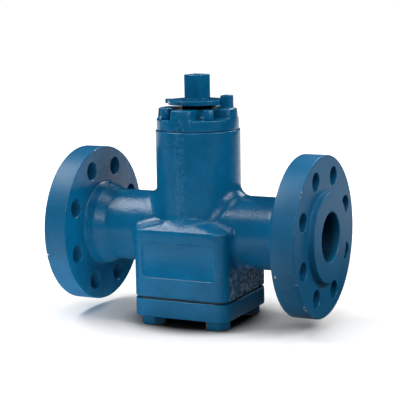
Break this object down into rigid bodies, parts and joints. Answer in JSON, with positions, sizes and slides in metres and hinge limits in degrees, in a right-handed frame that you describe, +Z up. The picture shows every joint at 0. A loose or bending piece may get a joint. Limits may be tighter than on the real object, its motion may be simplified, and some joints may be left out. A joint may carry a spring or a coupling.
{
  "type": "plug valve",
  "caption": "Flanged lubricated plug valve with a square wrench stem, a stop collar, a castellated top cap, a square body and a bolted bottom cover.",
  "frame": {"origin": "middle of the valve on the plane of the undersides of the cover bolt heads", "axes": "+X along the pipe towards the right-hand flange, +Y away from the panel on the front of the box, +Z up along the stem"},
  "size_m": [0.2922, 0.165, 0.2564],
  "materials": {
    "blue_paint": "satin gloss enamel over a cast skin",
    "machined_steel": "turned",
    "hard_steel": "ground and polished",
    "dark_steel": "oil blackened spring steel",
    "grey_iron": "ground taper",
    "bronze": "turned",
    "graphite": "pressed graphite",
    "black_rubber": "moulded"
  },
  "bodies": {
    "valve_body": {"adjusting_screw": "machined_steel", "body": "blue_paint", "bottom_cover": "blue_paint", "cap_screw_1": "blue_paint", "cap_screw_2": "blue_paint", "cap_screw_3": "blue_paint", "cap_screw_4": "blue_paint", "cover_bolt_1": "blue_paint", "cover_bolt_2": "blue_paint", "cover_bolt_3": "blue_paint", "cover_bolt_4": "blue_paint", "cover_gasket": "graphite", "lock_nut": "blue_paint", "packing_ring_1": "graphite", "packing_ring_2": "graphite", "packing_ring_3": "graphite", "packing_washer": "machined_steel", "stem_bush": "bronze", "thrust_ball": "hard_steel", "thrust_pad": "hard_steel", "thrust_washer": "bronze", "top_cap": "blue_paint", "weather_seal": "black_rubber"},
    "stem_and_plug": {"stem": "blue_paint", "stop_collar": "blue_paint", "retaining_ring": "dark_steel", "sealant_screw": "blue_paint", "coupling_ring": "machined_steel", "plug": "grey_iron"}
  },
  "joints": [
    {"name": "plug_turn", "type": "hinge", "parent": "valve_body", "child": "stem_and_plug", "pos_m": [0, 0, 0.095], "axis": [0, 0, 1], "range_deg": [-90, 0]}
  ]
}
